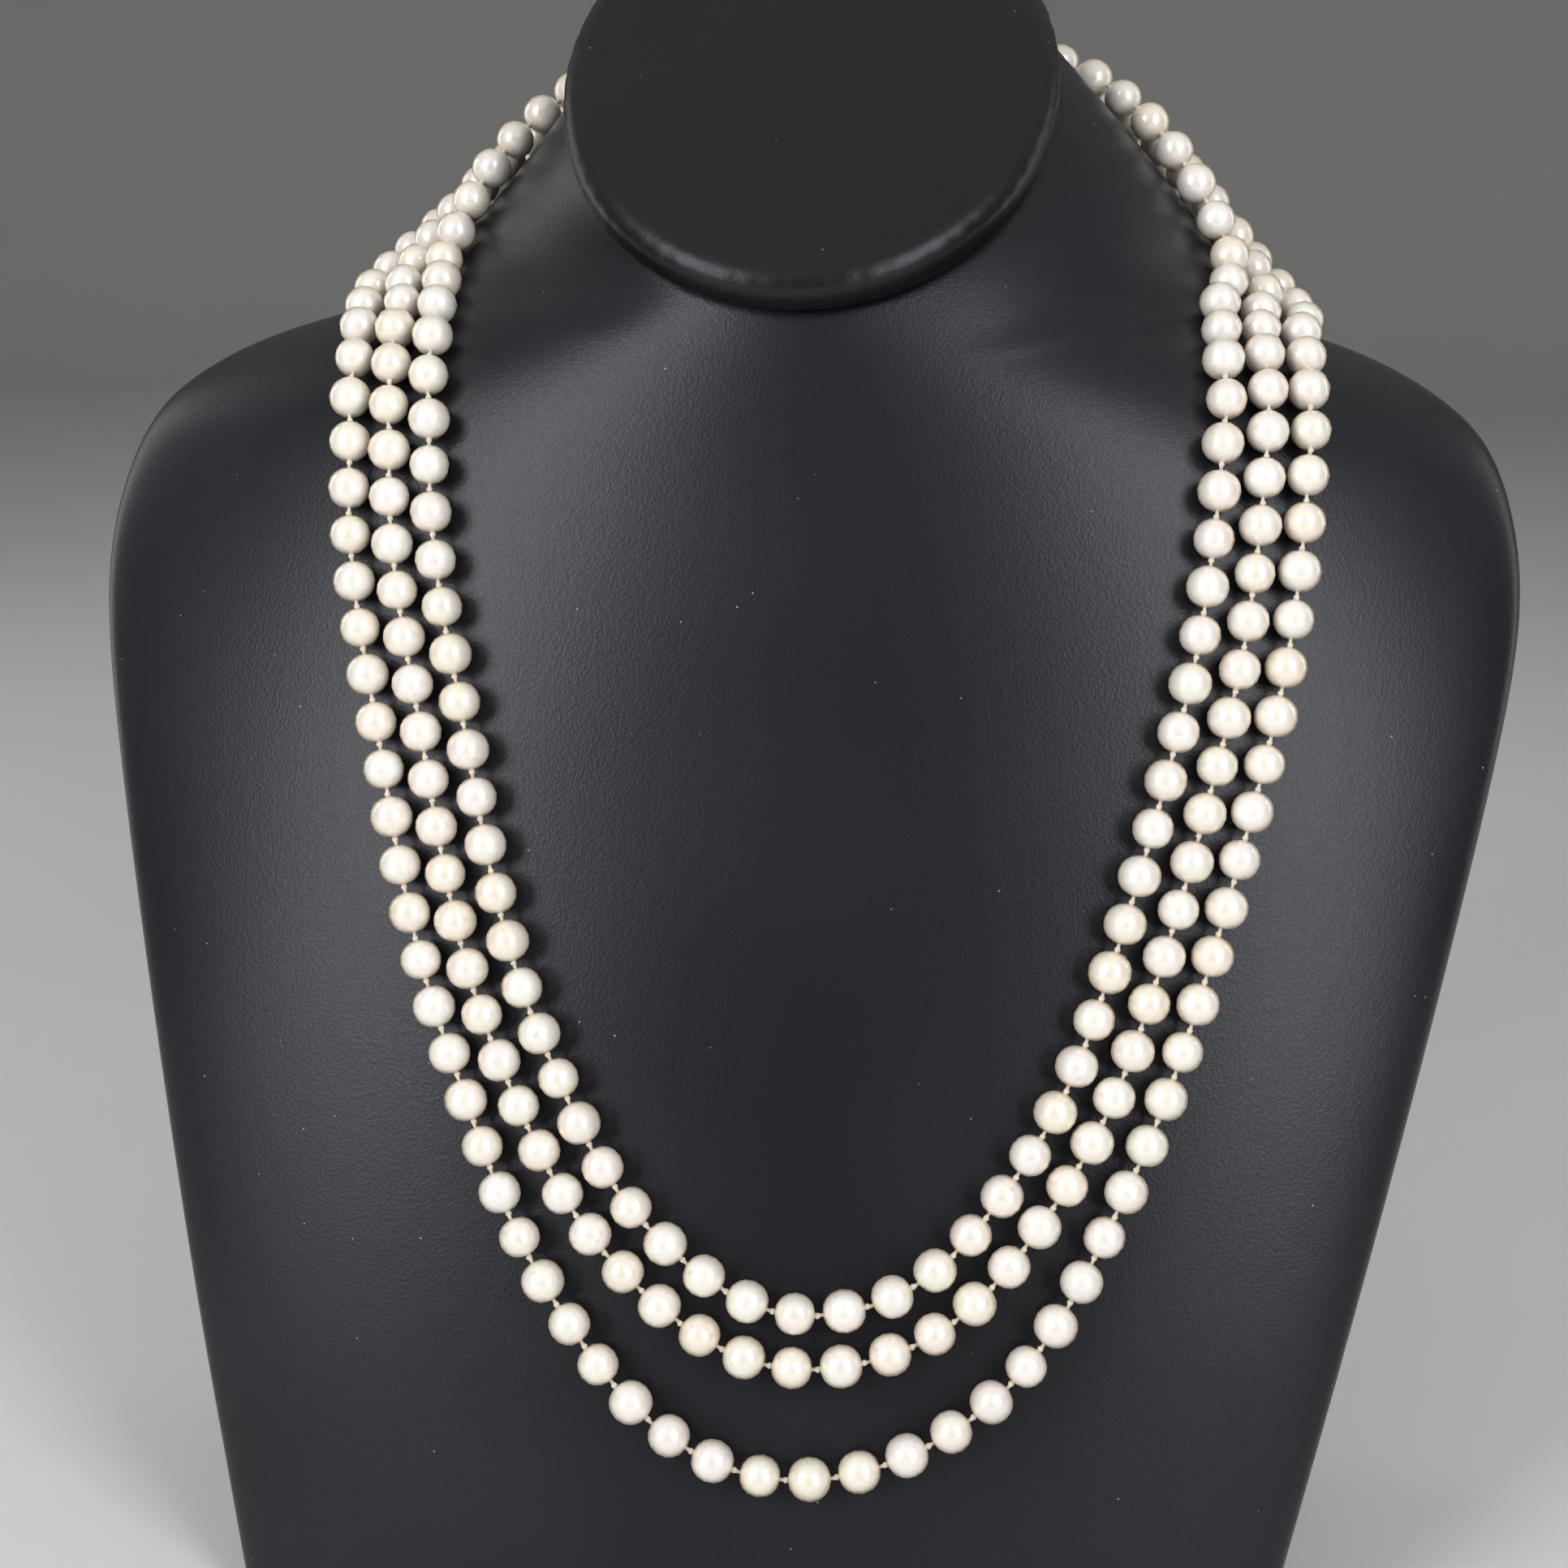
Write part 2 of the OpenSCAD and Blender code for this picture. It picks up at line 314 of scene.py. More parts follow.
@dataclass
class Wiring:
    """Adds and links nodes in a tree."""

    tree: bpy.types.NodeTree

    def add(self, kind: str, **values: object) -> bpy.types.Node:
        """Add a node.

        Args:
            kind: The node's type without the ShaderNode prefix.
            **values: Its properties.

        Returns:
            The node.
        """
        node = self.tree.nodes.new(f"ShaderNode{kind}")
        for name, value in values.items():
            setattr(node, name, value)
        return node

    def fill(self, socket: bpy.types.NodeSocket, source: object) -> None:
        """Set or link one input.

        Args:
            socket: The input.
            source: A value, or the socket that feeds it.
        """
        if isinstance(source, bpy.types.NodeSocket):
            self.tree.links.new(source, socket)
        else:
            socket.default_value = source

    def feed(self, node: bpy.types.Node, **sources: object) -> bpy.types.Node:
        """Set or link a node's inputs, which are named with _ for each space.

        Args:
            node: The node.
            **sources: For each input a value, or the socket that feeds it.

        Returns:
            The same node.
        """
        for name, source in sources.items():
            wanted = name.replace("_", " ").lower()
            self.fill(next(s for s in node.inputs if s.enabled and s.name.lower() == wanted), source)
        return node

    def math(self, operation: str, first: object, second: object = 0.0) -> bpy.types.NodeSocket:
        """Combine two numbers.

        Args:
            operation: The Math node's operation.
            first: A value or a socket.
            second: A value or a socket.

        Returns:
            The result's socket.
        """
        node = self.add("Math", operation=operation)
        for socket, source in zip(node.inputs, (first, second)):
            self.fill(socket, source)
        return node.outputs[0]

    def noise(self, place: object, scale: object, detail: float = 2.0) -> bpy.types.NodeSocket:
        """Add smooth noise.

        Args:
            place: The socket of the coordinates.
            scale: Waves per metre.
            detail: Number of finer layers.

        Returns:
            The noise's value, about 0.5 in the mean.
        """
        node = self.add("TexNoise")
        self.feed(node, Vector=place, Scale=scale, Detail=detail)
        return node.outputs["Fac"]

    def span(
        self, value: object, low: float, high: float, to_low: float = 0.0, to_high: float = 1.0
    ) -> bpy.types.NodeSocket:
        """Map a range of numbers onto another and hold its ends.

        Args:
            value: The socket of the number.
            low: Start of the range.
            high: End of the range.
            to_low: What the start becomes.
            to_high: What the end becomes.

        Returns:
            The mapped number's socket.
        """
        node = self.add("MapRange", interpolation_type="SMOOTHSTEP")
        names = ("Value", "From Min", "From Max", "To Min", "To Max")
        for name, source in zip(names, (value, low, high, to_low, to_high)):
            self.fill(node.inputs[name], source)
        return node.outputs["Result"]

    def blend(
        self, share: object, first: object, second: object, mode: str = "MIX"
    ) -> bpy.types.NodeSocket:
        """Mix two colours.

        Args:
            share: How much of the second shows, a value or a socket.
            first: A colour or a socket.
            second: A colour or a socket.
            mode: The blend mode.

        Returns:
            The mixed colour's socket.
        """
        node = self.add("Mix", data_type="RGBA", blend_type=mode)
        for index, source in zip(MIX_INPUTS, (share, first, second)):
            self.fill(node.inputs[index], source)
        return node.outputs[MIX_OUTPUT]

    def ripple(
        self, shader: bpy.types.Node, height: bpy.types.NodeSocket, depth: float, strength: float
    ) -> None:
        """Let a height ripple a shader's surface.

        Args:
            shader: The shader.
            height: The socket of the height.
            depth: How deep a height of one is, in metres.
            strength: How much of it shows.
        """
        bump = self.add("Bump")
        self.feed(bump, Height=height, Distance=depth, Strength=strength)
        self.feed(shader, Normal=bump.outputs["Normal"])


class Effects:
    """The shared shader groups, each built once."""

    def __init__(self) -> None:
        """Build every group."""
        self.grain = self._grain()
        self.dust = self._dust()
        self.twist = self._twist()

    @staticmethod
    def _grain() -> bpy.types.ShaderNodeTree:
        """Build the pebbled leather grain over soft unevenness.

        Returns:
            The group, which gives the grain's height, its creases and the broad unevenness.
        """
        wander_waves, fine_waves, broad_waves, fine_share = 400.0, 2600.0, 26.0, 0.5
        wander = (0.0008, 0.0008, 0.0004)
        effect = Effect("LeatherGrain")
        place = effect.input("Place", "Vector")
        size = effect.input("Pebbles", "Float", 1200.0)
        waves = effect.input("Unevenness", "Float", 0.3)
        wires = Wiring(effect.tree)
        warp = wires.add("TexNoise")
        wires.feed(warp, Vector=place, Scale=wander_waves, Detail=0.0)
        nudge = wires.add("VectorMath", operation="MULTIPLY_ADD")
        for socket, source in zip(nudge.inputs, (warp.outputs["Color"], wander, place)):
            wires.fill(socket, source)
        cells = wires.add("TexVoronoi", feature="F1")
        wires.feed(cells, Vector=nudge.outputs[0], Scale=size, Randomness=0.95)
        pebble = wires.span(cells.outputs["Distance"], 0.85, 0.05)
        fine = wires.noise(place, fine_waves, 0.0)
        broad = wires.noise(place, broad_waves, 0.0)
        height = wires.math("ADD", wires.math("MULTIPLY", fine, fine_share), pebble)
        lift = wires.math("MULTIPLY", broad, waves)
        effect.output("Height", "Float", wires.math("ADD", height, lift))
        effect.output("Crease", "Float", wires.math("SUBTRACT", 1.0, pebble))
        effect.output("Broad", "Float", broad)
        return effect.tree

    @staticmethod
    def _dust() -> bpy.types.ShaderNodeTree:
        """Build the sparse pale specks of lint.

        Returns:
            The group, which gives a mask.
        """
        effect = Effect("DustSpecks")
        place = effect.input("Place", "Vector")
        spread = effect.input("Specks", "Float", 190.0)
        wires = Wiring(effect.tree)
        cells = wires.add("TexVoronoi", feature="F1")
        wires.feed(cells, Vector=place, Scale=spread, Randomness=1.0)
        near = wires.span(cells.outputs["Distance"], 0.034, 0.02)
        effect.output("Mask", "Float", near)
        return effect.tree

    @staticmethod
    def _twist() -> bpy.types.ShaderNodeTree:
        """Build the fine strands of silk or brushed lines.

        Returns:
            The group, which gives a height and a tone.
        """
        tone_waves = 900.0
        effect = Effect("FineStrands")
        place = effect.input("Place", "Vector")
        fine = effect.input("Fineness", "Float", 3000.0)
        wires = Wiring(effect.tree)
        wave = wires.add("TexWave", bands_direction="DIAGONAL")
        wires.feed(wave, Vector=place, Scale=fine, Distortion=3.0, Detail=1.0)
        effect.output("Height", "Float", wave.outputs["Fac"])
        effect.output("Tone", "Float", wires.noise(place, tone_waves))
        return effect.tree


def fresh_material(name: str) -> tuple[bpy.types.Material, Wiring, bpy.types.Node, bpy.types.NodeSocket]:
    """Start a node material.

    Args:
        name: The material's name.

    Returns:
        The material, its wiring, its principled shader and the socket of its object coordinates.
    """
    material = bpy.data.materials.new(name)
    material.use_nodes = True
    wires = Wiring(material.node_tree)
    shader = material.node_tree.nodes["Principled BSDF"]
    place = wires.add("TexCoord").outputs["Object"]
    return material, wires, shader, place


# Finishes


@dataclass(frozen=True)
class Leatherette:
    """Black leatherette with a fine pebbled grain, painted shade in the grain's creases and a soft
    sheen.
    """

    name: str
    deep: Colour = (0.0075, 0.0082, 0.0115, 1.0)
    worn: Colour = (0.0105, 0.0115, 0.0155, 1.0)
    pebbles: float = 1650.0
    depth: float = 0.000016
    unevenness: float = 3.0
    roughness: float = 0.34
    gloss: float = 0.36
    cast: Colour = (0.93, 0.94, 1.0, 1.0)
    lint: Colour = (0.35, 0.35, 0.34, 1.0)
    # painted shade: share of black that darkens the grain's creases
    crease_shade: float = 0.3
    top_smoother: float = 0.01
    crease_rougher: float = 0.04

    def material(self, effects: Effects) -> bpy.types.Material:
        """Build the finish.

        Args:
            effects: The shared shader groups.

        Returns:
            The material.
        """
        material, wires, shader, place = fresh_material(self.name)
        grain = wires.add("Group", node_tree=effects.grain)
        wires.feed(grain, Place=place, Pebbles=self.pebbles, Unevenness=self.unevenness)
        dust = wires.add("Group", node_tree=effects.dust)
        wires.feed(dust, Place=place)
        tone = wires.blend(wires.span(grain.outputs["Broad"], 0.35, 0.7), self.deep, self.worn)
        crease = grain.outputs["Crease"]
        # Painted shade: the grain's creases are darkened towards black.
        creases_painted_shade = wires.blend(wires.math("MULTIPLY", crease, self.crease_shade), tone, BLACK)
        smoothest, roughest = self.roughness - self.top_smoother, self.roughness + self.crease_rougher
        wires.feed(
            shader,
            Base_Color=wires.blend(dust.outputs["Mask"], creases_painted_shade, self.lint),
            Roughness=wires.span(crease, 0.0, 1.0, smoothest, roughest),
            Specular_IOR_Level=self.gloss,
            Specular_Tint=self.cast,
        )
        wires.ripple(shader, grain.outputs["Height"], self.depth, 1.0)
        return material


@dataclass(frozen=True)
class Nacre:
    """White to cream pearl nacre, with the pearl's own tint, pink and green overtones, and a darker
    cream towards its edges that is partly its own colour and partly painted shade.
    """

    name: str = "pearl_nacre"
    tint: str = "nacre_tint"
    # darker cream at the edges: partly the nacre's own colour, partly painted shade
    rim: Colour = (0.80, 0.68, 0.52, 1.0)
    pink: Colour = (0.94, 0.80, 0.78, 1.0)
    green: Colour = (0.80, 0.86, 0.82, 1.0)
    blemish: Colour = (0.55, 0.45, 0.34, 1.0)
    overtone: float = 0.22
    rim_share: float = 0.85
    blemish_share: float = 0.35
    metallic: float = 0.18
    index: float = 1.65
    coat: float = 0.8
    coat_roughness: float = 0.14
    ripple_depth: float = 0.06 * MM

    def material(self) -> bpy.types.Material:
        """Build the finish.

        Returns:
            The material.
        """
        material, wires, shader, place = fresh_material(self.name)
        body = wires.add("Attribute", attribute_name=self.tint).outputs["Color"]
        facing = wires.feed(wires.add("LayerWeight"), Blend=0.35).outputs["Facing"]
        cloud_waves, blemish_waves, ripple_waves = 170.0, 700.0, 420.0
        cloud = wires.noise(place, cloud_waves)
        overtone = wires.blend(wires.span(cloud, 0.4, 0.6), self.pink, self.green)
        glow = wires.blend(self.overtone, body, overtone)
        # Partly real and partly painted shade: where the surface turns away from the view, the colour is
        # multiplied towards the darker rim cream.
        turning = wires.span(facing, 0.12, 0.8, 0.0, self.rim_share)
        edge = wires.blend(turning, glow, self.rim, "MULTIPLY")
        spots = wires.noise(place, blemish_waves, 1.0)
        blemish = wires.span(spots, 0.70, 0.80, 0.0, self.blemish_share)
        wires.feed(
            shader,
            Base_Color=wires.blend(blemish, edge, self.blemish),
            Roughness=wires.span(cloud, 0.3, 0.7, 0.28, 0.38),
            Metallic=self.metallic,
            IOR=self.index,
            Coat_Weight=self.coat,
            Coat_Roughness=self.coat_roughness,
            Coat_IOR=self.index,
        )
        wires.ripple(shader, wires.noise(place, ripple_waves), self.ripple_depth, 0.6)
        return material


@dataclass(frozen=True)
class Silk:
    """Cream silk thread."""

    name: str = "cream_silk"
    light: Colour = (0.90, 0.83, 0.70, 1.0)
    shade: Colour = (0.76, 0.66, 0.51, 1.0)
    fineness: float = 2200.0
    # painted light: how far the raised strands of the twist are lightened
    strand_light: float = 0.4
    strand_depth: float = 0.08 * MM
    sheen: float = 0.3

    def material(self, effects: Effects) -> bpy.types.Material:
        """Build the finish.

        Args:
            effects: The shared shader groups.

        Returns:
            The material.
        """
        material, wires, shader, place = fresh_material(self.name)
        strands = wires.add("Group", node_tree=effects.twist)
        wires.feed(strands, Place=place, Fineness=self.fineness)
        height, tone = strands.outputs["Height"], strands.outputs["Tone"]
        mixed = wires.blend(tone, self.shade, self.light)
        # Painted light: where the twist's height is high, the colour is lightened towards the light
        # colour.
        wires.feed(
            shader,
            Base_Color=wires.blend(wires.math("MULTIPLY", height, self.strand_light), mixed, self.light),
            Roughness=wires.span(tone, 0.3, 0.7, 0.55, 0.8),
            Sheen_Weight=self.sheen,
        )
        wires.ripple(shader, height, self.strand_depth, 0.8)
        return material


@dataclass(frozen=True)
class ClaspMetal:
    """Satin gold-coloured metal, brushed along its length."""

    name: str = "satin_gold"
    bright: Colour = (0.86, 0.68, 0.36, 1.0)
    dull: Colour = (0.62, 0.46, 0.22, 1.0)
    stretch: tuple[float, float, float] = (0.12, 1.0, 1.0)
    fineness: float = 1500.0
    line_depth: float = 0.02 * MM

    def material(self, effects: Effects) -> bpy.types.Material:
        """Build the finish.

        Args:
            effects: The shared shader groups.

        Returns:
            The material.
        """
        material, wires, shader, place = fresh_material(self.name)
        stretch = wires.add("Mapping")
        wires.feed(stretch, Vector=place, Scale=self.stretch)
        lines = wires.add("Group", node_tree=effects.twist)
        wires.feed(lines, Place=stretch.outputs["Vector"], Fineness=self.fineness)
        wires.feed(
            shader,
            Base_Color=wires.blend(lines.outputs["Tone"], self.dull, self.bright),
            Roughness=wires.span(lines.outputs["Height"], 0.0, 1.0, 0.24, 0.4),
            Metallic=1.0,
        )
        wires.ripple(shader, lines.outputs["Height"], self.line_depth, 0.5)
        return material


@dataclass(frozen=True)
class PaleFloor:
    """Plain pale studio floor."""

    name: str = "pale_floor"
    colour: Colour = (0.72, 0.72, 0.71, 1.0)

    def material(self) -> bpy.types.Material:
        """Build the finish.

        Returns:
            The material.
        """
        material, wires, shader, _ = fresh_material(self.name)
        wires.feed(shader, Base_Color=self.colour, Roughness=0.85)
        return material


# The neck bust


def point_along(curve: list[Vector], share: float) -> Vector:
    """Find the point of a curve that lies a share of the way along it.

    Args:
        curve: The curve's own end and pull points.
        share: The share of the way, from 0 to 1.

    Returns:
        The point.
    """
    while len(curve) > 1:
        curve = [a.lerp(b, share) for a, b in zip(curve, curve[1:])]
    return curve[0]


def eased_share(share: float) -> float:
    """Let a share start and end gently.

    Args:
        share: Any number.

    Returns:
        The share between 0 and 1.
    """
    held = min(1.0, max(0.0, share))
    return held * held * (3.0 - 2.0 * held)


@dataclass
class NeckBust:
    """Chest and neck under one skin of leatherette, wrapped over a flat underside."""

    node: bpy.types.Object
    finish: Leatherette = Leatherette("black_leatherette")
    smoothing: int = 2
    wrap: float = 3.0 * MM
    wrap_segments: int = 3
    throat_foot: float = 186.0 * MM
    throat_half: float = 84.0 * MM
    throat_fade: float = 36.0 * MM
    throat_depth: float = 40.0 * MM

    def build(self, effects: Effects) -> bpy.types.Object:
        """Model and dress the skin.

        Args:
            effects: The shared shader groups.

        Returns:
            The skin.
        """
        skin = copy_of(self.node, "bust_skin")
        rings = self._square_up(skin)
        self._ease_throat(skin, rings)
        self._wrap_underside(skin)
        subdivided(skin, self.smoothing)
        activate(skin)
        bpy.ops.object.shade_smooth()
        return settle(skin, "bust_leatherette", self.finish.material(effects), self.node.name)

    @staticmethod
    def _square_up(skin: bpy.types.Object) -> list[list[int]]:
        """Turn the loft's triangles back into its rings of four-sided faces.

        Args:
            skin: The merged copy of the bust.

        Returns:
            The numbers of each ring's points from the underside up, column by column.
        """
        rings: list[list[int]] = []
        with editing(skin, Part.EDGE) as mesh:
            ring = sorted(
                (v for v in mesh.verts if abs(v.co.z) < TOUCH),
                key=lambda v: math.atan2(v.co.y, v.co.x),
            )
            used: set[int] = set()
            diagonals: list[bmesh.types.BMEdge] = []
            while len(set(ring)) == len(ring):
                rings.append([v.index for v in ring])
                used.update(rings[-1])
                above: list[bmesh.types.BMVert] = []
                for here, ahead in zip(ring, ring[1:] + ring[:1]):
                    around = (v for f in mesh.edges.get((here, ahead)).link_faces for v in f.verts)
                    tip = next((v for v in around if v.index not in used), None)
                    if tip is None:
                        break
                    above.append(tip)
                    diagonals.append(mesh.edges.get((here, tip)))
                if len(above) < len(ring):
                    break
                ring = above[-1:] + above[:-1]
            bpy.ops.mesh.select_all(action="DESELECT")
            for edge in diagonals[: (len(rings) - 1) * len(rings[0])]:
                edge.select_set(True)
            bmesh.update_edit_mesh(skin.data)
            bpy.ops.mesh.dissolve_edges(use_verts=False)
        return rings

    def _ease_throat(self, skin: bpy.types.Object, rings: list[list[int]]) -> None:
        """Run the throat between the strands in one easy line from the chest up to the pad.

        Args:
            skin: The squared skin.
            rings: The numbers of each ring's points from the underside up, column by column.
        """
        points = skin.data.vertices
        lowest = (min(points[i].co.z for i in ring) for ring in rings)
        foot = next(k for k, z in enumerate(lowest) if z > self.throat_foot)
        for column in zip(*rings):
            line = [points[i].co.copy() for i in column]
            share = (self.throat_half - abs(line[foot].x)) / self.throat_fade
            if share <= 0.0 or line[foot].y > self.throat_depth:
                continue
            rise = line[-1] - line[foot]
            lean = (line[foot] - line[foot - 1]).normalized() * rise.length
            curve = [line[foot], line[foot] + lean / 3, line[-1] - rise / 3, line[-1]]
            steps = [0.0] + [(b - a).length for a, b in zip(line[foot:], line[foot + 1 :])]
            for k, walked in enumerate(accumulate(steps), foot):
                eased = point_along(curve, walked / sum(steps))
                points[column[k]].co = line[k].lerp(eased, eased_share(share))

    def _wrap_underside(self, skin: bpy.types.Object) -> None:
        """Close the underside in one face and give its rim a tight round.

        Args:
            skin: The squared skin.
        """
        with editing(skin, Part.FACE):
            pick(skin, Part.FACE, lambda p: p.z < TOUCH)
            bpy.ops.mesh.dissolve_faces()
            bpy.ops.mesh.region_to_loop()
            bpy.ops.mesh.bevel(offset=self.wrap, segments=self.wrap_segments, profile=0.5)
            pick(skin, Part.FACE, lambda p: p.z < TOUCH)
            bpy.ops.mesh.inset(thickness=self.wrap)


# The neck pad


@dataclass
class NeckPad:
    """Padded neck top: a firm oval cushion with a rolled rim that is gathered in fine creases."""

    node: bpy.types.Object
    # Painted shade: the bust's leatherette with darker colours, standing in for the shade on the pad's
    # upward-facing top.
    finish: Leatherette = Leatherette(
        "pad_leatherette",
        deep=(0.0035, 0.0042, 0.0058, 1.0),
        worn=(0.0050, 0.0058, 0.0075, 1.0),
        depth=0.000012,
        unevenness=2.0,
    )
    sides: int = 72
    smoothing: int = 2
    roll: float = 4.4 * MM
    roll_segments: int = 6
    under_edge: float = 0.9 * MM
    crown: float = 0.9 * MM
    crown_steps: tuple[tuple[float, float], ...] = ((6.0 * MM, 0.45), (9.0 * MM, 0.3), (10.0 * MM, 0.15))
    gathers: int = 64
    gather_depth: float = 0.12 * MM
    gather_reach: float = 0.9
    gather_fade: float = 0.08

    def build(self, effects: Effects) -> bpy.types.Object:
        """Model and dress the cover.

        Args:
            effects: The shared shader groups.

        Returns:
            The cover.
        """
        place, half_wide, half_long, thick = self._measure()
        bpy.ops.object.select_all(action="DESELECT")
        bpy.ops.mesh.primitive_cylinder_add(
            vertices=self.sides, radius=1.0, depth=thick, end_fill_type="NGON"
        )
        cover = named(bpy.context.object, "pad_cover")
        with editing(cover):
            bpy.ops.transform.resize(value=(half_wide, half_long, 1.0))
            low, high = -thick / 2, thick / 2
            pick(cover, Part.EDGE, lambda p: p.z > high - TOUCH)
            bpy.ops.mesh.bevel(offset=self.roll, segments=self.roll_segments, profile=0.5)
            pick(cover, Part.EDGE, lambda p: p.z < low + TOUCH)
            bpy.ops.mesh.bevel(offset=self.under_edge, segments=2)
            pick(cover, Part.FACE, lambda p: p.z > high - TOUCH)
            for width, rise in self.crown_steps:
                bpy.ops.mesh.inset(thickness=width)
                bpy.ops.transform.translate(value=(0, 0, self.crown * rise))
        subdivided(cover, self.smoothing)
        self._gather(cover, half_wide, half_long)
        fit = thick / max(v.co.z * 2 for v in cover.data.vertices)
        cover.data.transform(place @ Matrix.Diagonal((1.0, 1.0, min(1.0, fit), 1.0)))
        activate(cover)
        bpy.ops.object.shade_smooth()
        settle(cover, "pad_leatherette", self.finish.material(effects), self.node.name)
        return cover

    def _measure(self) -> tuple[Matrix, float, float, float]:
        """Read the pad's plane and size from its node.

        Returns:
            The pad's own frame with Z out of its top, its half width, half length and thickness.
        """
        areas: dict[tuple[float, float, float], float] = {}
        for face in self.node.data.polygons:
            key = tuple(round(c, 3) for c in face.normal)
            areas[key] = areas.get(key, 0.0) + face.area
        up = Vector(max((k for k in areas if k[2] > 0), key=lambda k: areas[k])).normalized()
        wide = Vector((1.0, 0.0, 0.0))
        along = up.cross(wide).normalized()
        turn = Matrix((wide, along, up))
        low, high = corners_of([turn @ v.co for v in self.node.data.vertices])
        middle = turn.transposed() @ ((low + high) / 2)
        size = high - low
        return Matrix.Translation(middle) @ turn.transposed().to_4x4(), size.x / 2, size.y / 2, size.z

    def _gather(self, cover: bpy.types.Object, wide: float, long: float) -> None:
        """Press fine creases into the roll where the cover is gathered under the rim.

        Args:
            cover: The pad's cover in its own frame.
            wide: Half its width.
            long: Half its length.
        """
        chance = random.Random(7)
        phases = [chance.uniform(-0.6, 0.6) for _ in range(self.gathers)]
        for vert in cover.data.vertices:
            reach = math.hypot(vert.co.x / wide, vert.co.y / long)
            if reach < self.gather_reach:
                continue
            turn = math.atan2(vert.co.y / long, vert.co.x / wide) / math.tau % 1.0
            crease = math.cos(math.tau * self.gathers * turn + phases[int(turn * self.gathers)])
            share = min(1.0, (reach - self.gather_reach) / self.gather_fade)
            pull = self.gather_depth * max(0.0, crease) * share
            vert.co -= Vector((vert.co.x / wide, vert.co.y / long, 0.0)).normalized() * pull


# The strands


@dataclass(frozen=True)
class Pearl:
    """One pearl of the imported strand."""

    centre: Vector
    radius: float


def pearls_of(node: bpy.types.Object, start: Vector) -> list[Pearl]:
    """Read a strand's pearls from its node, in the order in which they are strung.

    Args:
        node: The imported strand.
        start: The clasp's end that the strand starts from.

    Returns:
        The pearls, from the one nearest to start.
    """
    copy = copy_of(node, "reading")
    mesh = bmesh.new()
    mesh.from_mesh(copy.data)
    left = set(mesh.verts)
    found: list[Pearl] = []
    while left:
        front = [left.pop()]
        island = [front[0].co.copy()]
        while front:
            for edge in front.pop().link_edges:
                for vert in edge.verts:
                    if vert in left:
                        left.remove(vert)
                        front.append(vert)
                        island.append(vert.co.copy())
        low, high = corners_of(island)
        centre = (low + high) / 2
        found.append(Pearl(centre, max((c - centre).length for c in island)))
    mesh.free()
    bpy.data.objects.remove(copy)
    strung: list[Pearl] = []
    here = start
    while found:
        nearest = min(found, key=lambda pearl: (pearl.centre - here).length)
        found.remove(nearest)
        strung.append(nearest)
        here = nearest.centre
    return strung


def way_through(strung: list[Pearl], index: int) -> Vector:
    """Direction of a pearl's drilled hole.

    Args:
        strung: The strand's pearls in order.
        index: Which pearl.

    Returns:
        The unit vector along the strand.
    """
    after = strung[min(len(strung) - 1, index + 1)].centre
    before = strung[max(0, index - 1)].centre
    return (after - before).normalized()


def aimed(along: Vector) -> Matrix:
    """Turn that points Z along a direction.

    Args:
        along: The direction.

    Returns:
        The turn as a 4x4 matrix.
    """
    return along.to_track_quat("Z", "Y").to_matrix().to_4x4()


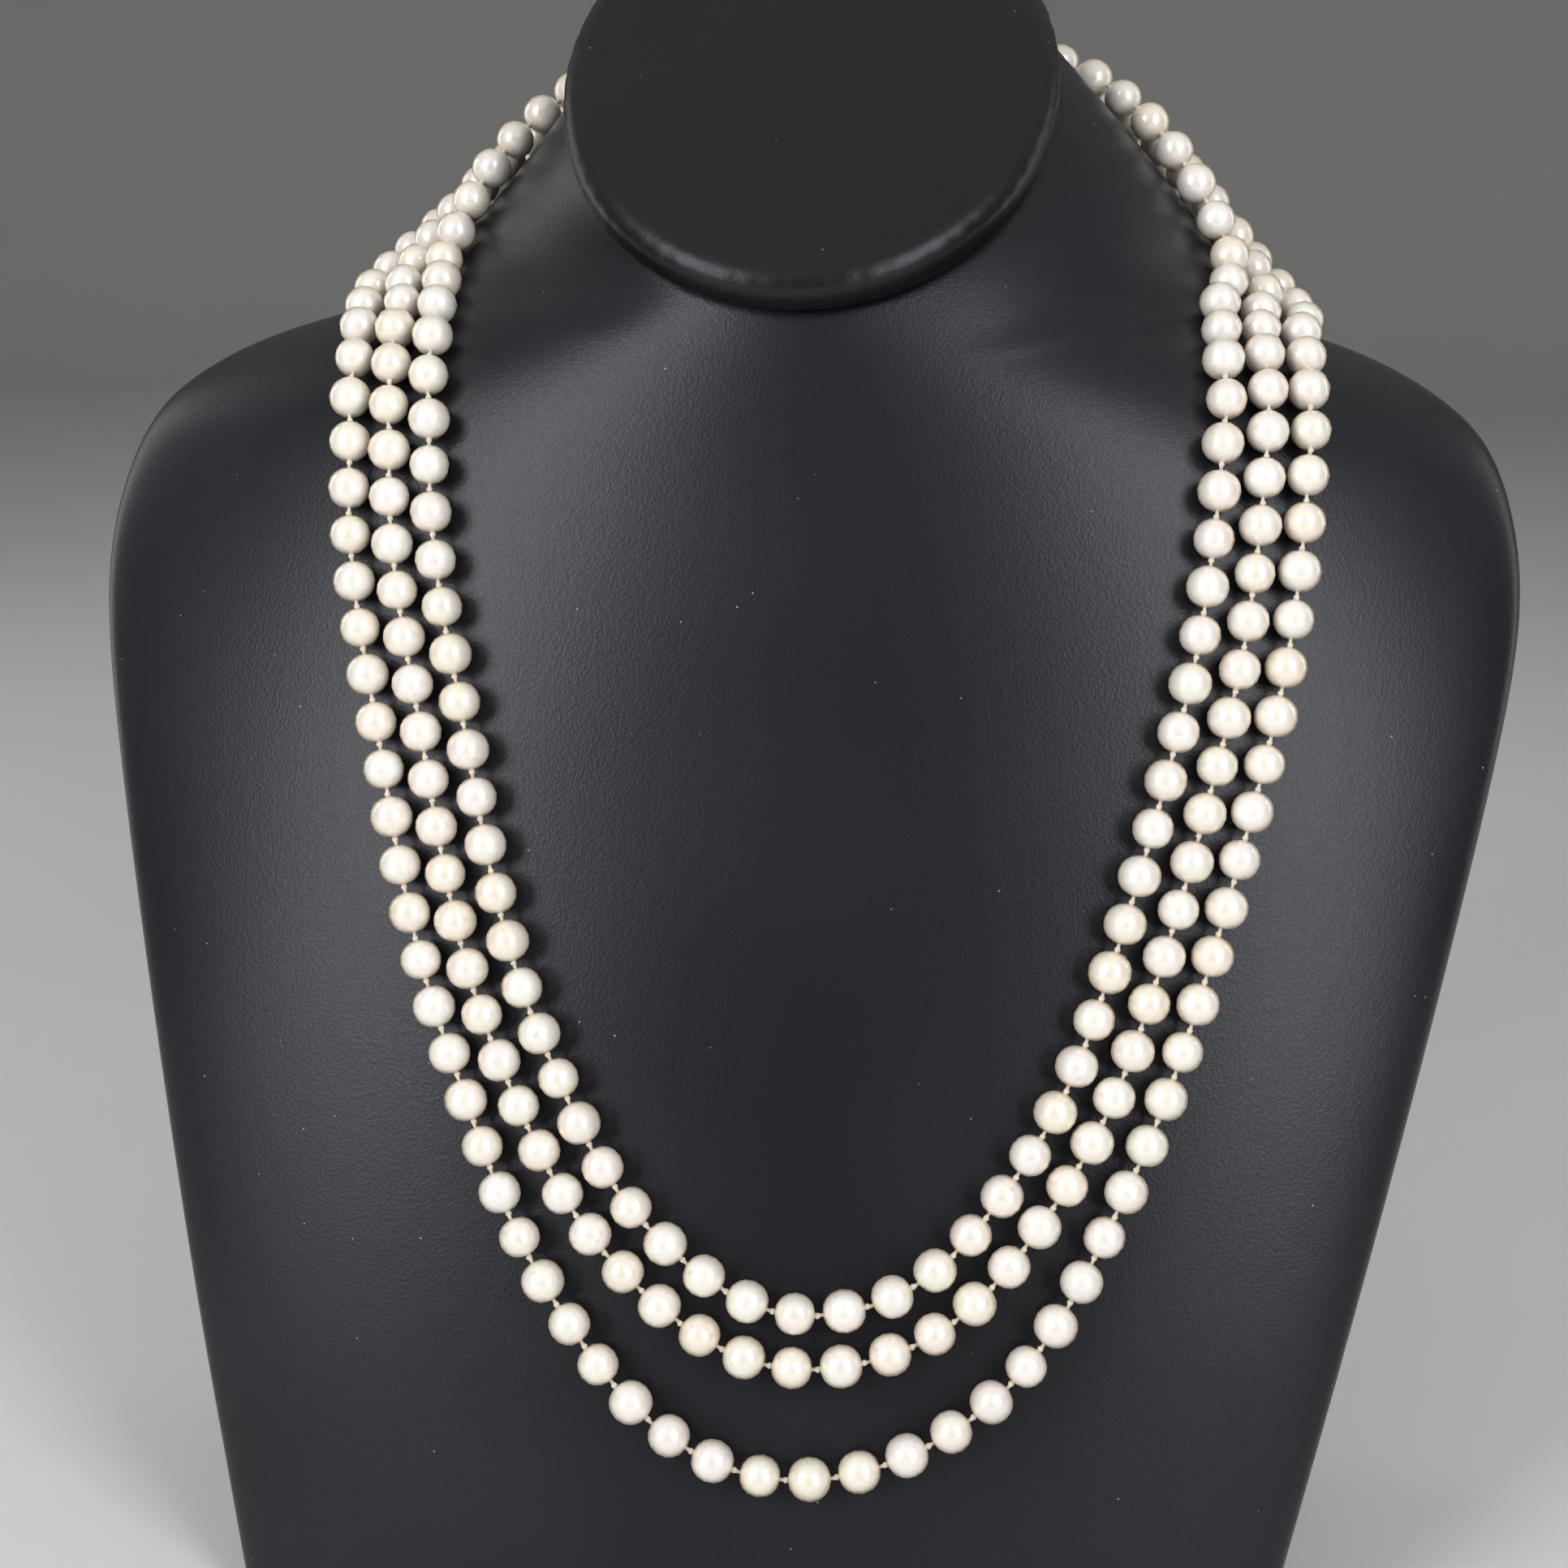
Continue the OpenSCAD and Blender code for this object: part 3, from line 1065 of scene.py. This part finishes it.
@dataclass
class PearlStrand:
    """One strand of slightly uneven drilled pearls."""

    node: bpy.types.Object
    strung: list[Pearl]
    seed: int
    finish: bpy.types.Material
    tint: str = Nacre.tint
    white: tuple[float, float, float] = (0.93, 0.895, 0.835)
    cream_green: float = 0.035
    cream_blue: float = 0.13
    off_round: float = 0.018
    mouth: float = 0.62 * MM
    lip: float = 0.12 * MM
    hollow: float = 0.5 * MM
    pole: float = 0.97

    def build(self) -> bpy.types.Object:
        """Model the strand's pearls and dress them.

        Returns:
            The strand.
        """
        chance = random.Random(self.seed)
        model = self._drilled_pearl(sum(p.radius for p in self.strung) / len(self.strung))
        copies = []
        for index, pearl in enumerate(self.strung):
            piece = twin_of(model, f"pearl_{index}")
            self._place(piece, pearl, way_through(self.strung, index), chance)
            self._tint(piece, chance)
            copies.append(piece)
        bpy.data.objects.remove(model)
        strand = joined(copies, self.node.name.replace("strand", "pearls"))
        bpy.ops.object.shade_smooth()
        return settle(strand, "pearl", self.finish, self.node.name)

    def _drilled_pearl(self, radius: float) -> bpy.types.Object:
        """Model one round pearl with the mouths of its hole, along Z.

        Args:
            radius: The pearl's radius.

        Returns:
            The pearl at the origin.
        """
        bpy.ops.object.select_all(action="DESELECT")
        bpy.ops.mesh.primitive_cube_add(size=2 * radius)
        pearl = named(bpy.context.object, "pearl_model")
        with editing(pearl):
            bpy.ops.mesh.subdivide(number_cuts=3)
            bpy.ops.transform.tosphere(value=1.0)
            reach = max(v.co.length for v in bmesh.from_edit_mesh(pearl.data).verts)
            bpy.ops.transform.resize(value=(radius / reach,) * 3)
            pick(pearl, Part.VERT, lambda p: abs(abs(p.z) - radius) < TOUCH)
            bpy.ops.mesh.bevel(offset=self.mouth, affect="VERTICES")
            for side in (-1, 1):
                pick(
                    pearl,
                    Part.FACE,
                    lambda p, side=side: p.z * side > radius * self.pole and p.xy.length < 0.01 * MM,
                )
                bpy.ops.mesh.inset(thickness=self.lip)
                bpy.ops.transform.translate(value=(0, 0, -side * self.hollow))
        return pearl

    def _place(
        self, piece: bpy.types.Object, pearl: Pearl, along: Vector, chance: random.Random
    ) -> None:
        """Give a copy its own slightly uneven form and its place on the thread.

        Args:
            piece: The copy.
            pearl: Where it goes and how large it is.
            along: Direction of its hole.
            chance: The strand's random numbers.
        """
        mean = max(v.co.length for v in piece.data.vertices)
        uneven = [1.0 - chance.random() * self.off_round for _ in range(3)]
        spin = Matrix.Rotation(chance.uniform(0, math.tau), 4, "Z")
        size = Matrix.Diagonal([u * pearl.radius / mean for u in uneven] + [1.0])
        piece.data.transform(Matrix.Translation(pearl.centre) @ aimed(along) @ spin @ size)

    def _tint(self, piece: bpy.types.Object, chance: random.Random) -> None:
        """Store the pearl's own body colour on its points.

        Args:
            piece: The pearl.
            chance: The strand's random numbers.
        """
        cream = chance.random() ** 1.5
        pink = chance.uniform(-0.005, 0.02)
        light = chance.uniform(0.95, 1.0)
        red, green, blue = self.white
        colour = (
            red * light,
            (green - self.cream_green * cream - pink) * light,
            (blue - self.cream_blue * cream) * light,
        )
        layer = piece.data.attributes.new(self.tint, "FLOAT_COLOR", "POINT")
        for point in layer.data:
            point.color = (*colour, 1.0)


@dataclass(frozen=True)
class Ring:
    """A section of a knot on a gap of unit length: its place along the gap, radius and lean aside."""

    along: float
    radius: float
    aside: float = 0.0


@dataclass
class KnottedSilk:
    """The silk thread of a strand, with a knot in each gap between two pearls."""

    node: bpy.types.Object
    strung: list[Pearl]
    ends: tuple[Vector, Vector]
    seed: int
    finish: bpy.types.Material
    sides: int = 8
    gap: float = 1.0 * MM
    turned_about: float = 0.35
    tuck: float = 0.96
    rings: tuple[Ring, ...] = (
        Ring(-0.62, 0.26 * MM),
        Ring(-0.44, 0.44 * MM, 0.02 * MM),
        Ring(-0.24, 0.53 * MM, 0.07 * MM),
        Ring(-0.04, 0.44 * MM, 0.05 * MM),
        Ring(0.08, 0.31 * MM, -0.01 * MM),
        Ring(0.62, 0.27 * MM),
    )

    def build(self) -> bpy.types.Object:
        """Model the knots and the lengths of thread that show.

        Returns:
            The thread.
        """
        chance = random.Random(self.seed)
        model = self._knot()
        copies = []
        for number, (start, end) in enumerate(self._gaps()):
            piece = twin_of(model, f"knot_{number}")
            if chance.random() < self.turned_about:
                start, end = end, start
            along = end - start
            grow = Matrix.Diagonal((1.0, 1.0, along.length / self.gap, 1.0))
            spin = Matrix.Rotation(chance.uniform(0, math.tau), 4, "Z")
            piece.data.transform(Matrix.Translation((start + end) / 2) @ aimed(along) @ spin @ grow)
            copies.append(piece)
        bpy.data.objects.remove(model)
        silk = joined(copies, self.node.name.replace("thread", "silk"))
        bpy.ops.object.shade_smooth()
        return settle(silk, "silk", self.finish, self.node.name)

    def _gaps(self) -> list[tuple[Vector, Vector]]:
        """Find each gap where the thread shows, from hole to hole and from the clasp.

        Returns:
            The two ends of every gap.
        """
        mouths = []
        for index, pearl in enumerate(self.strung):
            reach = way_through(self.strung, index) * pearl.radius * self.tuck
            mouths += [pearl.centre - reach, pearl.centre + reach]
        stops = [self.ends[0], *mouths, self.ends[1]]
        return list(zip(stops[::2], stops[1::2]))

    def _knot(self) -> bpy.types.Object:
        """Model one knot on its length of thread, along Z.

        Returns:
            The knot at the origin.
        """
        bpy.ops.object.select_all(action="DESELECT")
        first = self.rings[0]
        bpy.ops.mesh.primitive_circle_add(
            vertices=self.sides,
            radius=first.radius,
            fill_type="NGON",
            location=(first.aside, 0, first.along * self.gap),
        )
        bpy.ops.object.transform_apply()
        knot = named(bpy.context.object, "knot_model")
        with editing(knot, Part.FACE):
            for before, ring in zip(self.rings, self.rings[1:]):
                step = (ring.aside - before.aside, 0, (ring.along - before.along) * self.gap)
                bpy.ops.mesh.extrude_region_move(TRANSFORM_OT_translate={"value": step})
                grow = ring.radius / before.radius
                middle = (ring.aside, 0, ring.along * self.gap)
                bpy.ops.transform.resize(value=(grow, grow, 1.0), center_override=middle)
            bpy.ops.mesh.select_all(action="SELECT")
            bpy.ops.mesh.normals_make_consistent(inside=False)
        return knot


# The clasp


@dataclass
class Clasp:
    """Plain clasp at the nape, which stays as it is packed."""

    node: bpy.types.Object
    finish: ClaspMetal = ClaspMetal()
    row_share: float = 0.36

    def build(self, effects: Effects) -> bpy.types.Object:
        """Dress the clasp.

        Args:
            effects: The shared shader groups.

        Returns:
            The clasp's node.
        """
        for slot in self.node.material_slots:
            slot.material = self.finish.material(effects)
        log.info("%s: dressed", self.node.name)
        return self.node

    def sockets(self, row: int) -> tuple[Vector, Vector]:
        """Find where a row's thread enters the clasp.

        Args:
            row: 1 for the inner strand, 0 for the middle and -1 for the outer one.

        Returns:
            The mouths at the left and the right end.
        """
        verts = [v.co for v in self.node.data.vertices]
        low, high = min(v.x for v in verts), max(v.x for v in verts)
        middle = sum(verts, Vector()) / len(verts)
        head = max(verts, key=lambda v: v.z)
        foot = min(verts, key=lambda v: v.z)
        upward = Vector((0.0, head.y - foot.y, head.z - foot.z))
        centre = Vector(((low + high) / 2, middle.y, middle.z)) + upward * (self.row_share * row)
        half = Vector(((high - low) / 2, 0, 0))
        return centre - half, centre + half


# The studio


@dataclass(frozen=True)
class Softbox:
    """An upright area light."""

    name: str
    place: tuple[float, float, float]
    width: float
    height: float
    watts: float


@dataclass
class Studio:
    """Camera at the photograph's angle, a pale floor and soft lights."""

    image: int = 1932
    focal: float = 3020.0
    azimuth: float = 6.0
    elevation: float = 14.57
    roll: float = 0.91
    aim: tuple[float, float, float] = (0.0, -35.0 * MM, 66.0 * MM)
    aim_pixel: tuple[float, float] = (917.1, 1587.4)
    aim_depth: float = 400.0 * MM
    sensor: float = 36.0
    lights: tuple[Softbox, ...] = (
        Softbox("key_left", (-0.55, -0.68, 0.52), 0.34, 0.75, 6.0),
        Softbox("key_right", (0.58, -0.68, 0.52), 0.34, 0.75, 5.6),
        Softbox("rim_left", (-0.95, 0.40, 0.35), 0.30, 0.9, 1.8),
        Softbox("rim_right", (0.95, 0.40, 0.35), 0.30, 0.9, 1.4),
        Softbox("back", (0.0, 1.6, 1.7), 2.0, 0.8, 26.0),
    )
    ambient: float = 0.06
    air: Colour = (0.80, 0.81, 0.83, 1.0)
    lit_place: tuple[float, float, float] = (0.0, 0.0, 0.15)
    floor_radius: float = 2.2
    floor_sides: int = 96
    rim_steps: int = 8

    def camera(self) -> None:
        """Set the camera so that the aim point falls on its pixel."""
        turn, tip, lean = (math.radians(a) for a in (self.azimuth, self.elevation, self.roll))
        ahead = Vector(
            (-math.sin(turn) * math.cos(tip), math.cos(turn) * math.cos(tip), -math.sin(tip))
        )
        level = Vector((math.cos(turn), math.sin(turn), 0.0))
        above = level.cross(ahead)
        right = level * math.cos(lean) + above * math.sin(lean)
        up = above * math.cos(lean) - level * math.sin(lean)
        x = (self.aim_pixel[0] - self.image / 2) / self.focal * self.aim_depth
        y = (self.image / 2 - self.aim_pixel[1]) / self.focal * self.aim_depth
        place = Vector(self.aim) - ahead * self.aim_depth - right * x - up * y
        data = bpy.data.cameras.new("camera")
        data.sensor_width = self.sensor
        data.lens = self.sensor * self.focal / self.image
        data.clip_start, data.clip_end = 0.01, 50.0
        camera = bpy.data.objects.new("camera", data)
        bpy.context.scene.collection.objects.link(camera)
        turned = Matrix((right, up, -ahead)).transposed().to_4x4()
        camera.matrix_world = Matrix.Translation(place) @ turned
        bpy.context.scene.camera = camera

    def light(self) -> None:
        """Hang the soft lights, set the room's own light and keep the tones plain."""
        bpy.context.scene.view_settings.view_transform = "Standard"
        for box in self.lights:
            data = bpy.data.lights.new(box.name, "AREA")
            data.shape, data.size, data.size_y = "RECTANGLE", box.width, box.height
            data.energy = box.watts
            lamp = bpy.data.objects.new(box.name, data)
            bpy.context.scene.collection.objects.link(lamp)
            lamp.location = box.place
            way = Vector(self.lit_place) - lamp.location
            lamp.rotation_euler = way.to_track_quat("-Z", "Y").to_euler()
        world = bpy.data.worlds.new("room")
        world.use_nodes = True
        back = world.node_tree.nodes["Background"]
        back.inputs["Color"].default_value = self.air
        back.inputs["Strength"].default_value = self.ambient
        bpy.context.scene.world = world

    def floor(self) -> None:
        """Lay the pale floor with a raised rim far out."""
        bpy.ops.object.select_all(action="DESELECT")
        bpy.ops.mesh.primitive_circle_add(
            vertices=self.floor_sides, radius=self.floor_radius, fill_type="NGON"
        )
        floor = named(bpy.context.object, "studio_floor")
        with editing(floor, Part.EDGE):
            for step in range(self.rim_steps):
                (near, low), (far, high) = self._rim(step), self._rim(step + 1)
                pick(floor, Part.EDGE, lambda p, near=near: p.xy.length > near * 0.995)
                bpy.ops.mesh.extrude_region_move()
                bpy.ops.transform.resize(value=(far / near, far / near, 1.0))
                bpy.ops.transform.translate(value=(0, 0, high - low))
        bpy.ops.object.shade_smooth()
        floor.data.materials.append(PaleFloor().material())

    def _rim(self, step: int) -> tuple[float, float]:
        """Follow the quarter round of 1 m by which the floor rises at its rim.

        Args:
            step: Number of steps from the flat floor.

        Returns:
            The rim's radius and height there.
        """
        turn = math.radians(step * 90 / self.rim_steps)
        return self.floor_radius + math.sin(turn), 1 - math.cos(turn)


def main() -> None:
    """Build the studio and every piece in order, and note the sizes."""
    logging.basicConfig(level=logging.INFO, format="%(name)s: %(message)s")
    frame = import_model()
    nodes = frame["nodes"]
    bpy.ops.object.select_all(action="DESELECT")

    studio = Studio()
    studio.camera()
    studio.light()
    studio.floor()

    effects = Effects()
    NeckBust(nodes["bust"]).build(effects)
    NeckPad(nodes["neck_pad"]).build(effects)
    clasp = Clasp(nodes["clasp"])
    clasp.build(effects)
    nacre = Nacre().material()
    silk = Silk().material(effects)
    for row, name in ((1, "inner"), (0, "middle"), (-1, "outer")):
        ends = clasp.sockets(row)
        strung = pearls_of(nodes[f"{name}_strand"], ends[0])
        PearlStrand(nodes[f"{name}_strand"], strung, seed=11 + row, finish=nacre).build()
        KnottedSilk(nodes[f"{name}_thread"], strung, ends, seed=21 + row, finish=silk).build()


if __name__ == "__main__":
    main()
